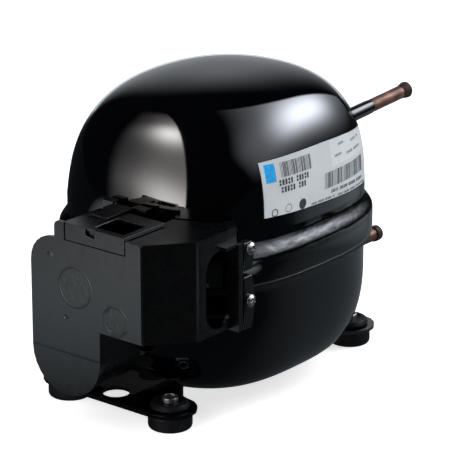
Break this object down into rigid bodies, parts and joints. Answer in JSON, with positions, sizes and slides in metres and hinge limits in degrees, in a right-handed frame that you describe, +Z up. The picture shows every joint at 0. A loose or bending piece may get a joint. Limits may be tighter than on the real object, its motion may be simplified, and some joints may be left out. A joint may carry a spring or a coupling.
{
  "type": "hermetic reciprocating compressor",
  "caption": "Welded domed shell with pump and motor on springs inside, connecting tubes, a plug-on relay cover and rubber feet.",
  "frame": {"origin": "the shell's vertical axis at floor level, under the grommets", "axes": "+X to the tube end, -X to the relay cover, -Y to the labelled side, +Z up"},
  "size_m": [0.259, 0.157, 0.186],
  "materials": {
    "shell_paint": "thick glossy black enamel",
    "black_plastic": "satin moulded black plastic",
    "rubber": "matt black rubber",
    "zinc_steel": "zinc plated",
    "spring_steel": "blackened spring steel",
    "copper": null,
    "plug_rubber": "dark rubber",
    "label": "white printed label under clear film",
    "cast_iron": "as cast, machined bores",
    "laminations": "stacked electrical steel",
    "winding": null,
    "aluminium": "die cast",
    "steel": "ground steel",
    "terminal_steel": "plated steel with glass seals",
    "white_plastic": "natural engineering plastic"
  },
  "bodies": {
    "housing": {"upper_shell": "shell_paint", "lower_shell": "shell_paint", "weld_bead": "shell_paint", "base_plate_cover_end": "shell_paint", "base_plate_tube_end": "shell_paint", "grommet_1": "rubber", "grommet_2": "rubber", "grommet_3": "rubber", "grommet_4": "rubber", "foot_sleeve_1": "zinc_steel", "foot_sleeve_2": "zinc_steel", "foot_sleeve_3": "zinc_steel", "foot_sleeve_4": "zinc_steel", "process_tube": "copper", "suction_tube": "copper", "discharge_tube": "copper", "label": "label", "hermetic_terminal": "terminal_steel", "terminal_fence": "shell_paint", "spring_1": "steel", "spring_2": "steel", "spring_3": "steel", "spring_4": "steel", "discharge_line": "copper"},
    "pump": {"cylinder_block": "cast_iron", "stator_core": "laminations", "upper_winding": "winding", "lower_winding": "winding", "stator_bolt_1": "steel", "stator_bolt_2": "steel", "stator_bolt_3": "steel", "stator_bolt_4": "steel", "suction_reed": "steel", "valve_plate": "steel", "discharge_reed": "steel", "cylinder_head": "aluminium", "head_bolt_1": "steel", "head_bolt_2": "steel", "head_bolt_3": "steel", "head_bolt_4": "steel", "suction_muffler": "white_plastic"},
    "crank": {"crankshaft": "steel", "rotor": "aluminium", "oil_pickup": "steel"},
    "piston_set": {"piston": "steel", "wrist_pin": "steel"},
    "rod": {"connecting_rod": "aluminium", "crank_pin": "steel"},
    "cover": {"relay_cover": "black_plastic", "cover_lid": "black_plastic", "retaining_clip": "spring_steel", "cord_clamp_upper": "black_plastic", "cord_clamp_lower": "black_plastic", "clamp_screw_1": "zinc_steel", "clamp_screw_2": "zinc_steel"},
    "relay": {"start_relay": "white_plastic"},
    "overload": {"overload_protector": "black_plastic"},
    "process_cap": {"process_plug": "plug_rubber"},
    "suction_cap": {"suction_plug": "plug_rubber"},
    "discharge_cap": {"discharge_plug": "plug_rubber"}
  },
  "joints": [
    {"name": "suspension", "type": "slide", "parent": "housing", "child": "pump", "axis": [0, 0, 1], "range_m": [-0.003, 0.003], "stiffness_N_per_m": 12000, "springref_m": 0.00346, "deforming": ["spring_1", "spring_2", "spring_3", "spring_4", "discharge_line"]},
    {"name": "crank_spin", "type": "hinge", "parent": "pump", "child": "crank", "pos_m": [0, 0, 0.07], "axis": [0, 0, 1], "continuous": true},
    {"name": "piston_slide", "type": "slide", "parent": "pump", "child": "piston_set", "axis": [1, 0, 0], "range_m": [-0.016, 0]},
    {"name": "rod_swing", "type": "hinge", "parent": "piston_set", "child": "rod", "pos_m": [0.042, 0, 0.118], "axis": [0, 0, 1], "range_deg": [-13.6, 13.6]},
    {"name": "cover_pull", "type": "slide", "parent": "housing", "child": "cover", "axis": [-1, 0, 0], "range_m": [0, 0.07]},
    {"name": "relay_pull", "type": "slide", "parent": "housing", "child": "relay", "axis": [-1, 0, 0], "range_m": [0, 0.0125]},
    {"name": "overload_pull", "type": "slide", "parent": "housing", "child": "overload", "axis": [-1, 0, 0], "range_m": [0, 0.0125]},
    {"name": "process_plug_pull", "type": "slide", "parent": "housing", "child": "process_cap", "axis": [0.9987, 0.0248, 0.0446], "range_m": [0, 0.02]},
    {"name": "suction_plug_pull", "type": "slide", "parent": "housing", "child": "suction_cap", "axis": [1, 0, 0], "range_m": [0, 0.02]},
    {"name": "discharge_plug_pull", "type": "slide", "parent": "housing", "child": "discharge_cap", "axis": [1, 0, 0], "range_m": [0, 0.02]}
  ]
}
